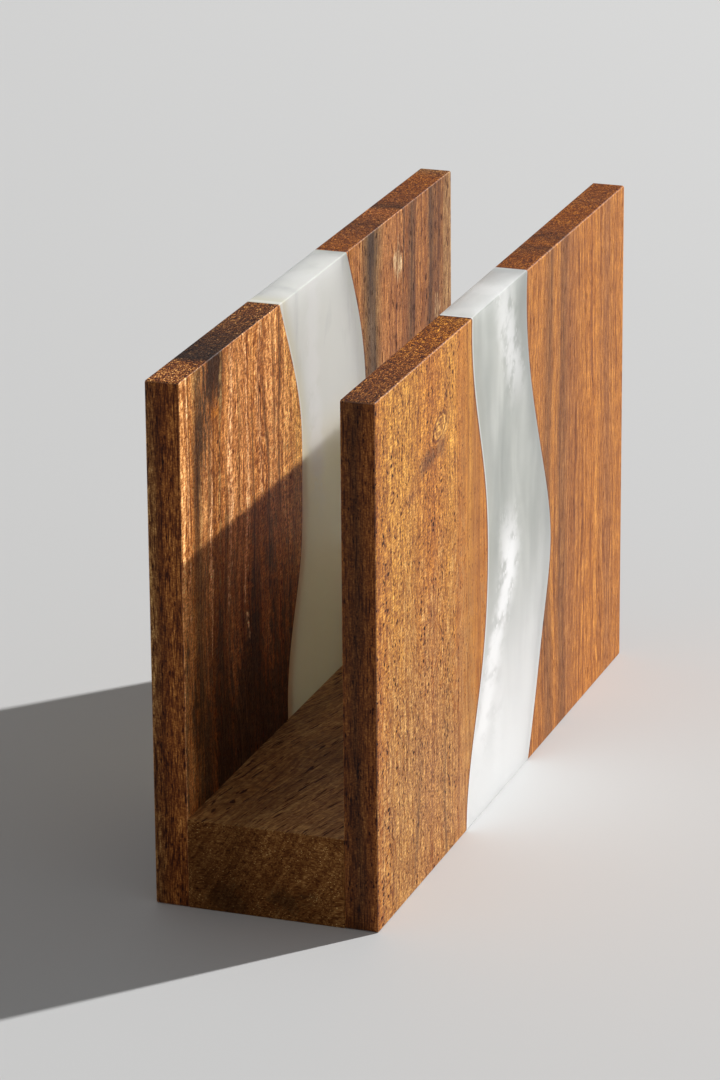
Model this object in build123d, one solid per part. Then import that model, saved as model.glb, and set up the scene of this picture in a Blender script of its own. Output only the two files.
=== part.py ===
from build123d import *
import os

# Free-standing napkin holder. Two upright panels stand on either side of a base block.
# Each panel is a river board: a front and a rear strip of wood with live edges,
# and a band of resin cast between them.
# The origin is the centre of the footprint, on the surface that the holder stands on.
# X runs across the slot, Y along the panels from the near end to the far end, Z is up.

# Overall sizes, in millimetres.
HOLDER_LENGTH = 165.0
PANEL_HEIGHT = 110.0
PANEL_THICKNESS = 7.2
SLOT_WIDTH = 33.0
BASE_HEIGHT = 19.0

# Edges broken by hand sanding.
PANEL_CORNER_ROUND = 0.6
PANEL_OUTER_EDGE_ROUND = 0.45
PANEL_INNER_EDGE_ROUND = 0.3
BASE_END_ROUND = 0.35

# Blind fluted dowels that pin the wood strips to the sides of the base block.
DOWEL_DIAMETER = 6.0
DOWEL_INSET = 24.0
DOWEL_DEPTH_IN_BASE = 12.0
DOWEL_COVER_IN_PANEL = 2.4
DOWEL_GLUE_GAP = 0.1
DOWEL_END_GAP = 0.5
DOWEL_END_CHAMFER = 0.7
DOWEL_FLUTE_COUNT = 6
DOWEL_FLUTE_RADIUS = 0.35

# How far a cutting shape runs past what it cuts.
CUT_OVERRUN = 5.0

# The live edges of the rivers, from the foot of the panel to its top.
# Each pair is a share of the panel's height and a share of the holder's length
# from the near end. The first and last pair lie just past the panel's foot and top.
FOOT_SHARE = -0.05
TOP_SHARE = 1.05
MIDDLE_SHARE = 0.5
LEFT_FRONT_LIVE_EDGE_SHARES = (
    (FOOT_SHARE, 0.368),
    (0.10, 0.354),
    (0.23, 0.350),
    (0.35, 0.371),
    (0.48, 0.404),
    (0.61, 0.411),
    (0.75, 0.409),
    (0.88, 0.378),
    (TOP_SHARE, 0.322),
)
LEFT_REAR_LIVE_EDGE_SHARES = (
    (FOOT_SHARE, 0.590),
    (0.15, 0.592),
    (0.34, 0.612),
    (0.53, 0.640),
    (0.71, 0.651),
    (0.82, 0.637),
    (0.92, 0.609),
    (TOP_SHARE, 0.566),
)
RIGHT_FRONT_LIVE_EDGE_SHARES = (
    (FOOT_SHARE, 0.336),
    (0.04, 0.335),
    (0.15, 0.355),
    (0.29, 0.394),
    (0.48, 0.418),
    (0.66, 0.408),
    (0.82, 0.374),
    (0.94, 0.357),
    (TOP_SHARE, 0.363),
)
RIGHT_REAR_LIVE_EDGE_SHARES = (
    (FOOT_SHARE, 0.570),
    (0.10, 0.612),
    (0.26, 0.650),
    (0.41, 0.679),
    (0.57, 0.650),
    (0.72, 0.607),
    (0.86, 0.579),
    (TOP_SHARE, 0.584),
)

# Each side's name and the way it lies from the slot along X.
SIDES = {"left": -1, "right": 1}
LIVE_EDGE_SHARES = {
    "left": (LEFT_FRONT_LIVE_EDGE_SHARES, LEFT_REAR_LIVE_EDGE_SHARES),
    "right": (RIGHT_FRONT_LIVE_EDGE_SHARES, RIGHT_REAR_LIVE_EDGE_SHARES),
}

# Where the dowels lie: partly in the panel and partly in the base block, midway up the block,
# and as far from the near end as from the far end.
DOWEL_DEPTH_IN_PANEL = PANEL_THICKNESS - DOWEL_COVER_IN_PANEL
DOWEL_ACROSS = (SLOT_WIDTH + DOWEL_DEPTH_IN_PANEL - DOWEL_DEPTH_IN_BASE) / 2
DOWEL_UP = BASE_HEIGHT / 2
DOWEL_ALONG = {
    "front": DOWEL_INSET - HOLDER_LENGTH / 2,
    "rear": HOLDER_LENGTH / 2 - DOWEL_INSET,
}


def eased_panel(way):
    """One whole panel before the river parts it, standing beside the base block.

    way is -1 for the left panel and 1 for the right one. The outline's corners
    are rounded first, then the rim of the outer face, then that of the inner one.
    """
    panel = Box(
        PANEL_THICKNESS,
        HOLDER_LENGTH,
        PANEL_HEIGHT,
        align=(Align.CENTER, Align.CENTER, Align.MIN),
    )
    panel = fillet(panel.edges().filter_by(Axis.X), PANEL_CORNER_ROUND)
    outward = Axis((0, 0, 0), (way, 0, 0))
    panel = fillet(panel.faces().sort_by(outward)[-1].edges(), PANEL_OUTER_EDGE_ROUND)
    panel = fillet(panel.faces().sort_by(outward)[0].edges(), PANEL_INNER_EDGE_ROUND)
    return Pos(way * (SLOT_WIDTH + PANEL_THICKNESS) / 2, 0, 0) * panel


def live_edge(shares):
    """The wavy line where wood meets resin, as a curve in the panel's Y-Z plane."""
    points = [
        (HOLDER_LENGTH * (along - MIDDLE_SHARE), PANEL_HEIGHT * height)
        for height, along in shares
    ]
    return Spline(*points)


def end_line(along):
    """A straight line past one end of the panel, as tall as the live edges reach."""
    return Line((along, PANEL_HEIGHT * FOOT_SHARE), (along, PANEL_HEIGHT * TOP_SHARE))


def band_between(near_line, far_line):
    """A block that fills the space between two lines up the panel, right through it."""
    outline = make_face(
        [
            near_line,
            Line(near_line @ 1, far_line @ 1),
            far_line,
            Line(near_line @ 0, far_line @ 0),
        ]
    )
    reach = SLOT_WIDTH / 2 + PANEL_THICKNESS + CUT_OVERRUN
    return extrude(Plane.YZ * outline, reach, both=True)


def dowel_holes():
    """The four blind dowel holes as solids, each from panel to base block."""
    radius = DOWEL_DIAMETER / 2 + DOWEL_GLUE_GAP
    hole = Rot(0, 90, 0) * Cylinder(radius, DOWEL_DEPTH_IN_PANEL + DOWEL_DEPTH_IN_BASE)
    return [
        Pos(way * DOWEL_ACROSS, along, DOWEL_UP) * hole
        for way in SIDES.values()
        for along in DOWEL_ALONG.values()
    ]


def panel_pieces(side):
    """The front strip, resin river and rear strip of one panel, by node name."""
    panel = eased_panel(SIDES[side])
    front_shares, rear_shares = LIVE_EDGE_SHARES[side]
    past_end = HOLDER_LENGTH / 2 + CUT_OVERRUN
    lines = [
        end_line(-past_end),
        live_edge(front_shares),
        live_edge(rear_shares),
        end_line(past_end),
    ]
    front_strip, river, rear_strip = [
        panel & band_between(near_line, far_line)
        for near_line, far_line in zip(lines, lines[1:])
    ]
    return {
        f"{side}_front_strip": front_strip - dowel_holes(),
        f"{side}_resin_river": river,
        f"{side}_rear_strip": rear_strip - dowel_holes(),
    }


def base_block():
    """The spacer block between the panels, flush with their ends and their feet."""
    block = Box(
        SLOT_WIDTH,
        HOLDER_LENGTH,
        BASE_HEIGHT,
        align=(Align.CENTER, Align.CENTER, Align.MIN),
    )
    end_edges = block.faces().filter_by(Axis.Y).edges().filter_by(Axis.X)
    return fillet(end_edges, BASE_END_ROUND) - dowel_holes()


def fluted_dowel():
    """One dowel along X, centred, with chamfered ends and straight glue flutes."""
    length = DOWEL_DEPTH_IN_PANEL + DOWEL_DEPTH_IN_BASE - 2 * DOWEL_END_GAP
    pin = Cylinder(DOWEL_DIAMETER / 2, length)
    pin = chamfer(pin.edges().filter_by(GeomType.CIRCLE), DOWEL_END_CHAMFER)
    flute = Cylinder(DOWEL_FLUTE_RADIUS, length + CUT_OVERRUN)
    pin -= PolarLocations(DOWEL_DIAMETER / 2, DOWEL_FLUTE_COUNT) * flute
    return Rot(0, 90, 0) * pin


def dowels():
    """The four dowels in their holes, by node name."""
    pin = fluted_dowel()
    return {
        f"{side}_{end}_dowel": Pos(way * DOWEL_ACROSS, along, DOWEL_UP) * pin
        for side, way in SIDES.items()
        for end, along in DOWEL_ALONG.items()
    }


def napkin_holder():
    """Every piece of the holder, by node name."""
    pieces = {"base_block": base_block()}
    for side in SIDES:
        pieces.update(panel_pieces(side))
    pieces.update(dowels())
    return pieces


os.makedirs("parts", exist_ok=True)
for node, solid in napkin_holder().items():
    export_step(solid, f"parts/{node}.step")
    print(f"{node}: {solid.volume:.1f} cubic millimetres")
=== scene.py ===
import logging
import math
from dataclasses import dataclass
from enum import Enum
from typing import Optional, Sequence, Union

import bpy
from mathutils import Matrix, Vector


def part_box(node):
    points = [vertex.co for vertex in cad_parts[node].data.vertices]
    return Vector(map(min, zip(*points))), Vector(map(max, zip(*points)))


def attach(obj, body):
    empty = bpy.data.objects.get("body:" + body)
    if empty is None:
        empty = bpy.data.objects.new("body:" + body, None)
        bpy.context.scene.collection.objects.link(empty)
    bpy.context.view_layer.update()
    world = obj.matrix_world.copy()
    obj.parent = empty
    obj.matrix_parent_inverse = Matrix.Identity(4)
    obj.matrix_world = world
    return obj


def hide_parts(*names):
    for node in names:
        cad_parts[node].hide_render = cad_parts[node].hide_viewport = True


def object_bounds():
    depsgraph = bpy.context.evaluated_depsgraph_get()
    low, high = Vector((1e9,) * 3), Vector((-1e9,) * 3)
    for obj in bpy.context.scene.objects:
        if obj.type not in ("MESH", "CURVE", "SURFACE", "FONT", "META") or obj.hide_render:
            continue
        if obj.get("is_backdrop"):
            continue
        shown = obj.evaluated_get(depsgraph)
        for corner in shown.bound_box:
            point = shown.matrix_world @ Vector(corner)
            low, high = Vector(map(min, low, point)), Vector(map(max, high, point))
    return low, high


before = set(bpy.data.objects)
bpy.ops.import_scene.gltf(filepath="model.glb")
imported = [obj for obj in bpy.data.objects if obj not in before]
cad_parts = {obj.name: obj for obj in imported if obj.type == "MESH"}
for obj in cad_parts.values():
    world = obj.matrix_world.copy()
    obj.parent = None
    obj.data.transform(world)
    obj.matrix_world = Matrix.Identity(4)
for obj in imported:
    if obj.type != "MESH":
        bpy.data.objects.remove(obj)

# Looks of the napkin holder: oiled river-board panels, a solid base block and blind dowels.
# Lengths inside the finishes are millimetres, because grain is thought of at that scale.
MM = 0.001
PER_METRE = 1000.0
LOG = logging.getLogger("napkin_holder")

# How much red, green and blue a layer of wood stain of depth 1 lets through.
STAIN_KEEPS = (0.40, 0.29, 0.22)

# Where most of a noise lies.
NOISE_SPAN = (0.3, 0.7)

# Cosines from which and to which a face comes to lie square to an axis, or turns into the next face.
SQUARE_FACE = (0.55, 0.9)
TURNING_FACE = (0.97, 0.85)

# The room that each speck, drop, and flake or painted highlight has, in millimetres.
SPECK_CELL = (0.32, 0.32, 8.0)
DROP_CELL = (1.6, 1.5, 1.8)
FLAKE_AND_GLINT_CELL = (2.6, 3.6, 2.6)

# How the wood and the resin take light, before their figure changes that.
WOOD_ROUGHNESS = 0.42
WOOD_SPECULAR = 0.13
RESIN_ROUGHNESS = 0.40
RESIN_SPECULAR = 0.25

# How near a panel's foot and top its live edges are read, as a share of its height.
EDGE_MARGIN = 0.02

# The point that the lamps face, in metres.
LAMP_AIM = (0.0, 0.0, 0.05)

Feed = Union[float, Sequence[float], bpy.types.NodeSocket]
Socket = bpy.types.NodeSocket


class Grain(Enum):
    """Which way the fibres of a piece of wood run. The value is the order of the axes:
    through the board, across the fibres, along the fibres."""

    UPRIGHT = ("X", "Y", "Z")
    LENGTHWISE = ("Z", "X", "Y")
    CROSSWISE = ("Z", "Y", "X")


class Tone(Enum):
    """Colours of the wood, the resin and the floor, as linear red, green and blue."""

    GOLDEN = (0.570, 0.228, 0.032)
    HONEY = (0.650, 0.295, 0.058)
    AMBER = (0.545, 0.185, 0.022)
    SALMON = (0.670, 0.255, 0.062)
    ROSE = (0.850, 0.365, 0.112)
    TERRACOTTA = (0.530, 0.200, 0.050)
    COPPER = (0.480, 0.165, 0.024)
    RUSSET = (0.400, 0.138, 0.028)
    CHESTNUT = (0.270, 0.095, 0.021)
    UMBER = (0.140, 0.052, 0.014)
    EBONY = (0.045, 0.018, 0.008)
    BLUSH = (0.900, 0.455, 0.190)
    SPALT_GREY = (0.155, 0.088, 0.047)
    SAPWOOD = (0.490, 0.255, 0.090)
    CREAM_WOOD = (0.720, 0.480, 0.240)
    TAN = (0.400, 0.186, 0.060)
    OLIVE = (0.440, 0.225, 0.074)
    OLIVE_DARK = (0.300, 0.148, 0.047)
    BEECH = (0.620, 0.400, 0.230)
    BEECH_FLECK = (0.430, 0.240, 0.120)
    PEARL_SHADE = (0.325, 0.340, 0.316)
    PEARL_GREY = (0.410, 0.426, 0.396)
    PEARL = (0.560, 0.575, 0.536)
    PEARL_LIGHT = (0.735, 0.755, 0.685)
    PEARL_BRIGHT = (0.970, 0.970, 0.960)
    PEARL_CREAM = (0.720, 0.680, 0.510)
    # A cream that is painted light: it stands in for light glowing through the resin into shade.
    PEARL_MILK_GLOW = (0.999, 0.840, 0.520)
    PEARL_DEEP = (0.380, 0.400, 0.400)
    FLOOR_PALE = (0.640, 0.640, 0.636)

    @property
    def rgba(self) -> tuple[float, float, float, float]:
        """The colour with full opacity."""
        return (*self.value, 1.0)


class Layer(Enum):
    """Noises that the finishes are drawn with. Each value holds the blobs' three sizes in
    millimetres, how far the seed moves on, how many finer layers are added and how strong
    those are. For wood the sizes lie through, across and along the fibres."""

    WIDE = ((30.0, 30.0, 85.0), 0.0, 2.0, 0.5)
    FINE = ((4.5, 4.5, 24.0), 7.0, 2.0, 0.5)
    RINGS = ((1.4, 1.4, 170.0), 11.0, 3.0, 0.6)
    LINES = ((0.60, 0.60, 45.0), 13.0, 1.0, 0.5)
    FIBRES = ((0.24, 0.34, 9.0), 17.0, 2.0, 0.6)
    GRIT = ((0.40, 0.85, 0.34), 19.0, 1.0, 0.5)
    CURL = ((12.0, 9.0, 4.5), 23.0, 2.0, 0.5)
    DASHES = ((0.22, 0.50, 1.6), 27.0, 1.0, 0.5)
    PORE_STREAKS = ((1.6, 1.6, 60.0), 37.0, 2.0, 0.5)
    END_DOTS = ((0.22, 0.42, 4.0), 43.0, 1.0, 0.5)
    SPECK_CROWDS = ((6.0, 9.0, 30.0), 53.0, 2.0, 0.5)
    SAW_MARKS = ((0.5, 22.0, 30.0), 59.0, 1.0, 0.5)
    CLUMPS = ((0.9, 0.9, 3.2), 61.0, 1.0, 0.5)
    FISSURES = ((0.30, 1.0, 5.5), 67.0, 1.0, 0.5)
    RESIN_DRIFT = ((18.0, 18.0, 45.0), 0.0, 1.0, 0.5)
    RESIN_WISPS = ((3.4, 3.4, 15.0), 9.0, 1.0, 0.5)
    RESIN_CLOUDS = ((10.0, 10.0, 24.0), 13.0, 1.0, 0.5)
    RESIN_SMOKE = ((2.6, 5.5, 4.5), 17.0, 3.0, 0.55)
    RESIN_RIPPLE = ((7.0, 7.0, 9.0), 29.0, 2.0, 0.5)


# The noises of a wood's figure, in the order that its finish takes them.
FIGURE_LAYERS = (
    Layer.RINGS, Layer.LINES, Layer.FIBRES, Layer.CURL, Layer.GRIT, Layer.DASHES, Layer.CLUMPS,
    Layer.FISSURES,
)


class NodeBoard:
    """Adds nodes to one node tree and joins them, so that a finish reads as plain steps."""

    def __init__(self, tree: bpy.types.NodeTree) -> None:
        """Takes over a tree and empties it."""
        self.tree = tree
        tree.nodes.clear()

    def feed(self, socket: Socket, value: Feed) -> None:
        """Joins a socket to another, or sets its value.

        Args:
            socket: the input to feed.
            value: an output socket, a number or a tuple.
        """
        if isinstance(value, bpy.types.NodeSocket):
            self.tree.links.new(value, socket)
        else:
            socket.default_value = value

    def add(self, kind: str, *values: Feed, **settings: object) -> bpy.types.Node:
        """Adds one node.

        Args:
            kind: the node's type name.
            values: what feeds its inputs, in their order.
            settings: the node's own options.

        Returns:
            The new node.
        """
        node = self.tree.nodes.new(kind)
        for option, setting in settings.items():
            setattr(node, option, setting)
        for socket, value in zip(node.inputs, values):
            self.feed(socket, value)
        return node

    def wire(self, kind: str, **inputs: Feed) -> bpy.types.Node:
        """Adds one node whose inputs are fed by name.

        Args:
            kind: the node's type name.
            inputs: values by the inputs' names, with _ for a space.

        Returns:
            The new node.
        """
        node = self.tree.nodes.new(kind)
        for name, value in inputs.items():
            self.feed(node.inputs[name.replace("_", " ")], value)
        return node

    def math(self, operation: str, *values: Feed) -> Socket:
        """The result of one Math node."""
        return self.add("ShaderNodeMath", *values, operation=operation).outputs[0]

    def fold(self, operation: str, values: Sequence[Feed]) -> Feed:
        """All the values joined by one kind of Math node, from the first on."""
        result = values[0]
        for value in values[1:]:
            result = self.math(operation, result, value)
        return result

    def product(self, *values: Feed) -> Feed:
        """All the values multiplied together."""
        return self.fold("MULTIPLY", values)

    def total(self, *values: Feed) -> Feed:
        """All the values added together."""
        return self.fold("ADD", values)

    def highest(self, *values: Feed) -> Feed:
        """The highest of the values."""
        return self.fold("MAXIMUM", values)

    def gap(self, first: Feed, second: Feed) -> Socket:
        """How far two values lie apart."""
        return self.math("ABSOLUTE", self.math("SUBTRACT", first, second))

    def swing(self, value: Feed, amount: float) -> Socket:
        """A noise about one half turned into a signed amount about zero."""
        return self.spread(value, *NOISE_SPAN, -amount, amount)

    def fade(self, value: Feed, low: Feed, high: Feed) -> Socket:
        """A soft step: 0 at low, 1 at high."""
        node = self.add("ShaderNodeMapRange", value, low, high, 0.0, 1.0)
        node.interpolation_type = "SMOOTHSTEP"
        return node.outputs[0]

    def spread(self, value: Feed, low: float, high: float, to_low: float, to_high: float) -> Socket:
        """A straight map from one range to another, held at its ends."""
        return self.add("ShaderNodeMapRange", value, low, high, to_low, to_high).outputs[0]

    def share(self, place: Feed, span: tuple[float, float]) -> Socket:
        """Where a place lies in a span, from 0 to 1."""
        return self.spread(place, *span, 0.0, 1.0)

    def place(self) -> tuple[Socket, Socket, Socket]:
        """The point being shaded, as X, Y and Z in millimetres on the object."""
        coordinates = self.add("ShaderNodeTexCoord").outputs["Object"]
        scaled = self.add("ShaderNodeVectorMath", coordinates, (PER_METRE,) * 3, operation="MULTIPLY")
        return tuple(self.add("ShaderNodeSeparateXYZ", scaled.outputs[0]).outputs)

    def square_to(self, axis: str) -> Socket:
        """How squarely the surface lies to one axis, as a cosine."""
        normal = self.add("ShaderNodeTexCoord").outputs["Normal"]
        return self.math("ABSOLUTE", self.add("ShaderNodeSeparateXYZ", normal).outputs[axis])

    def facing(self, axis: str) -> Socket:
        """1 on faces square to one axis, and 0 on the others."""
        return self.fade(self.square_to(axis), *SQUARE_FACE)

    def arris(self) -> Socket:
        """Where the surface turns from one face to the next, from 0 to 1."""
        squarest = self.highest(*(self.square_to(axis) for axis in "XYZ"))
        return self.fade(squarest, *TURNING_FACE)

    def cell_place(self, place: Sequence[Feed], sizes: Sequence[float], seed: float) -> Socket:
        """A place counted in cells of given sizes, moved by a seed.

        Args:
            place: three lengths in millimetres.
            sizes: the cell's three sizes in millimetres.
            seed: how many cells the pattern is moved by along each axis.

        Returns:
            The vector to feed to a texture.
        """
        joined = self.add("ShaderNodeCombineXYZ", *place).outputs[0]
        steps = tuple(1.0 / size for size in sizes)
        node = self.add("ShaderNodeVectorMath", joined, steps, (seed,) * 3, operation="MULTIPLY_ADD")
        return node.outputs[0]

    def noise(self, place: Sequence[Feed], layer: Layer, seed: float) -> Socket:
        """Smooth noise about one half.

        Args:
            place: three lengths in millimetres.
            layer: the noise's sizes and fineness.
            seed: moves the pattern.

        Returns:
            The noise, from 0 to 1.
        """
        sizes, step, detail, rough = layer.value
        vector = self.cell_place(place, sizes, seed + step)
        node = self.wire("ShaderNodeTexNoise", Vector=vector, Scale=1.0, Detail=detail, Roughness=rough)
        return node.outputs[0]

    def cells(self, place: Sequence[Feed], sizes: Sequence[float], seed: float) -> tuple[Socket, Socket]:
        """Scattered cells.

        Args:
            place: three lengths in millimetres.
            sizes: the cells' sizes along the three lengths, in millimetres.
            seed: moves the pattern.

        Returns:
            How far the point is from its cell's middle, in cells, and a number of the cell's own.
        """
        vector = self.cell_place(place, sizes, seed)
        node = self.wire("ShaderNodeTexVoronoi", Vector=vector, Scale=1.0)
        own = self.add("ShaderNodeSeparateColor", node.outputs["Color"]).outputs[0]
        return node.outputs["Distance"], own

    def blend(self, share: Feed, first: Feed, second: Feed) -> Socket:
        """A mix of two colours."""
        node = self.add("ShaderNodeMix", data_type="RGBA")
        self.feed(node.inputs[0], share)
        self.feed(node.inputs[6], first)
        self.feed(node.inputs[7], second)
        return node.outputs[2]

    def stain(self, colour: Feed, depth: Feed) -> Socket:
        """A colour seen through a layer of stain, which takes blue first and red last.

        Args:
            colour: the colour to stain.
            depth: how deep the layer is. Below 0 the colour is bleached.

        Returns:
            The stained colour.
        """
        kept = [self.math("POWER", share, depth) for share in STAIN_KEEPS]
        layer = self.add("ShaderNodeCombineXYZ", *kept).outputs[0]
        return self.add("ShaderNodeVectorMath", colour, layer, operation="MULTIPLY").outputs[0]

    def ramp(self, share: Feed, stops: Sequence[tuple[float, Tone]]) -> Socket:
        """A colour read from a row of named tones.

        Args:
            share: where to read, from 0 to 1.
            stops: pairs of place and tone, in order.

        Returns:
            The colour.
        """
        node = self.add("ShaderNodeValToRGB", share)
        elements = node.color_ramp.elements
        elements[0].position, elements[0].color = stops[0][0], stops[0][1].rgba
        elements[1].position, elements[1].color = stops[-1][0], stops[-1][1].rgba
        for position, tone in stops[1:-1]:
            elements.new(position).color = tone.rgba
        return node.outputs[0]

    def curve(self, value: Feed, points: Sequence[tuple[float, float]]) -> Socket:
        """A smooth line through points, read at a value from 0 to 1.

        Args:
            value: where to read.
            points: pairs of place and height, each from 0 to 1, in order.

        Returns:
            The line's height there.
        """
        node = self.add("ShaderNodeFloatCurve", 1.0, value)
        line = node.mapping.curves[0]
        line.points[0].location = points[0]
        line.points[1].location = points[-1]
        for point in points[1:-1]:
            line.points.new(*point)
        node.mapping.update()
        return node.outputs[0]

    def off_line(
        self,
        place: Socket,
        rise: Feed,
        points: Sequence[tuple[float, float]],
        span: tuple[float, float],
    ) -> Socket:
        """How far a place lies from a wavy line up the panel.

        Args:
            place: the place across the line, in millimetres.
            rise: the share of the height.
            points: pairs of height share and span share that the line runs through.
            span: the lowest and highest place across the line, in millimetres.

        Returns:
            The distance in millimetres.
        """
        return self.gap(place, self.spread(self.curve(rise, points), 0.0, 1.0, *span))

    def surface(self, **inputs: Feed) -> None:
        """Joins a Principled shader to the output, with its inputs by name and _ for a space."""
        shader = self.wire("ShaderNodeBsdfPrincipled", **inputs)
        self.add("ShaderNodeOutputMaterial", shader.outputs[0])

    def relief(self, height: Feed) -> Socket:
        """A normal bent by a height in millimetres."""
        return self.wire("ShaderNodeBump", Strength=1.0, Distance=MM, Height=height).outputs[0]


def new_material(name: str) -> tuple[bpy.types.Material, NodeBoard]:
    """A material with an empty node tree, and the board that fills it."""
    material = bpy.data.materials.new(name)
    material.use_nodes = True
    return material, NodeBoard(material.node_tree)


@dataclass(frozen=True)
class LiveEdge:
    """One wavy line where wood meets resin, read from the river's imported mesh.

    Attributes:
        points: pairs of height share and length share, from the foot up.
    """

    points: tuple[tuple[float, float], ...]

    @classmethod
    def of_river(cls, node: str, rear: bool, levels: int = 25) -> "LiveEdge":
        """Reads one side of a river.

        Args:
            node: the river's name.
            rear: True for the line at the far side, False for the near one.
            levels: how many heights are read.

        Returns:
            The line as shares of the holder's height and length.
        """
        low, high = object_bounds()
        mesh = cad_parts[node].data
        pick = max if rear else min
        points = []
        for level in range(levels):
            share = level / (levels - 1)
            inner = min(max(share, EDGE_MARGIN), 1.0 - EDGE_MARGIN)
            height = low.z + inner * (high.z - low.z)
            crossings = []
            for edge in mesh.edges:
                start, end = (mesh.vertices[index].co for index in edge.vertices)
                if (start.z - height) * (end.z - height) < 0.0:
                    part = (height - start.z) / (end.z - start.z)
                    crossings.append(start.y + part * (end.y - start.y))
            points.append((share, (pick(crossings) - low.y) / (high.y - low.y)))
        return cls(tuple(points))


@dataclass(frozen=True)
class Patch:
    """A soft patch of another tone, such as a streak, a fleck, a smudge or painted shade.

    Attributes:
        across: its middle, as a share of the way across the bands.
        up: its middle, as a share of the way along the fibres.
        width: its full width in millimetres.
        height: its full height in millimetres.
        tone: its colour.
        strength: how far it covers the wood, from 0 to 1.
        lean: how far its top lies across from its foot, in millimetres.
        eye: whether it is a small eye, which has rings and the fibres flow round.
    """

    across: float
    up: float
    width: float
    height: float
    tone: Tone
    strength: float
    lean: float = 0.0
    eye: bool = False


@dataclass(frozen=True)
class Figure:
    """How strongly each layer of a wood's figure shows, as a depth of stain.

    Attributes:
        rings: growth bands.
        lines: thin dark lines along the fibres.
        fibres: fine fibres.
        curl: soft ripples across the fibres.
        grit: fine light and dark grains.
        dashes: short dark dashes, and bright dashes that are painted highlights.
        clumps: light and dark clumps of fibres, where pores are few or many.
        pores: open pores.
        pore_cell: the room that each pore has through, across and along the wood, in millimetres.
        end_depth: how much darker the end grain is.
        end_dots: light and dark dots on the end grain.
        side_depth: how much darker the narrow sides are.
        fissures: long fine cracks on the narrow sides.
        speckles: pale specks on the end grain.
        saw_marks: faint slanting lines that a saw left on the end grain.
        worn_and_highlight: how smooth and glossy the edges are, and how far they are painted paler as a
            highlight.
    """

    rings: float = 0.30
    lines: float = 0.50
    fibres: float = 0.30
    curl: float = 0.12
    grit: float = 0.20
    dashes: float = 0.45
    clumps: float = 0.30
    pores: float = 2.60
    pore_cell: tuple[float, float, float] = (0.50, 0.62, 2.0)
    end_depth: float = 0.94
    end_dots: float = 1.10
    side_depth: float = 0.50
    fissures: float = 0.0
    speckles: float = 0.0
    saw_marks: float = 0.0
    worn_and_highlight: float = 0.25


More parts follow.
